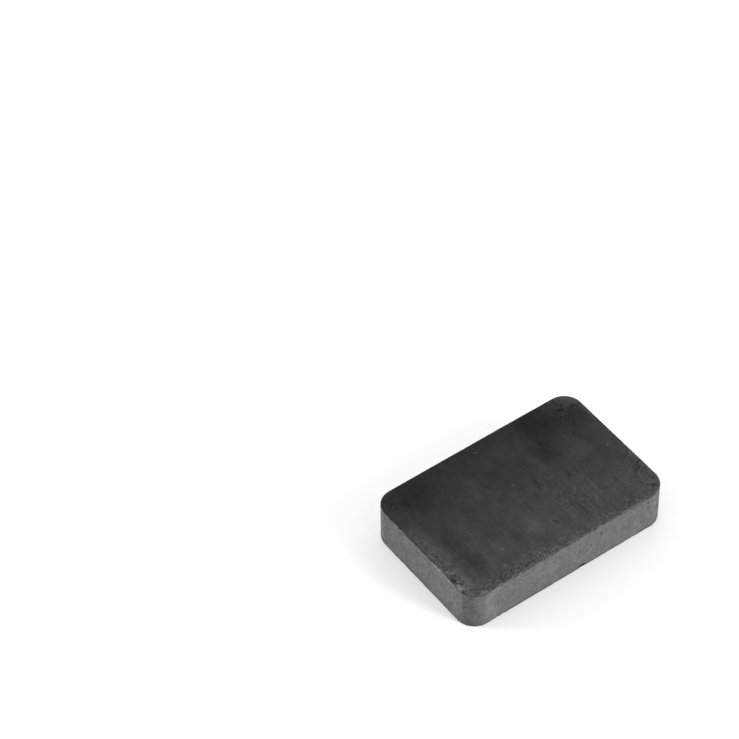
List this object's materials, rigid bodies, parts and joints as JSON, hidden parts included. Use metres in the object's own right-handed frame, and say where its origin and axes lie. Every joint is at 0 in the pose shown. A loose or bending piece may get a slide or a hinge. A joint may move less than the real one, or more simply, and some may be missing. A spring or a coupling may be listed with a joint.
{
  "type": "block magnet",
  "caption": "Flat rectangular ferrite magnet with rounded corners, ground pole faces and chipped edges; lies flat or sits in a pocket.",
  "frame": {"origin": "centre of the lower pole face, which lies on the surface that the block rests on", "axes": "+X along the length, +Y along the width, +Z through the thickness from the lower pole face to the upper one"},
  "size_m": [0.0308, 0.02, 0.006],
  "materials": {
    "ferrite": "dark grey sintered ferrite, pole faces ground with fine straight scratches, sides matt as fired"
  },
  "bodies": {
    "root": {"magnet_block": "ferrite"}
  },
  "joints": []
}
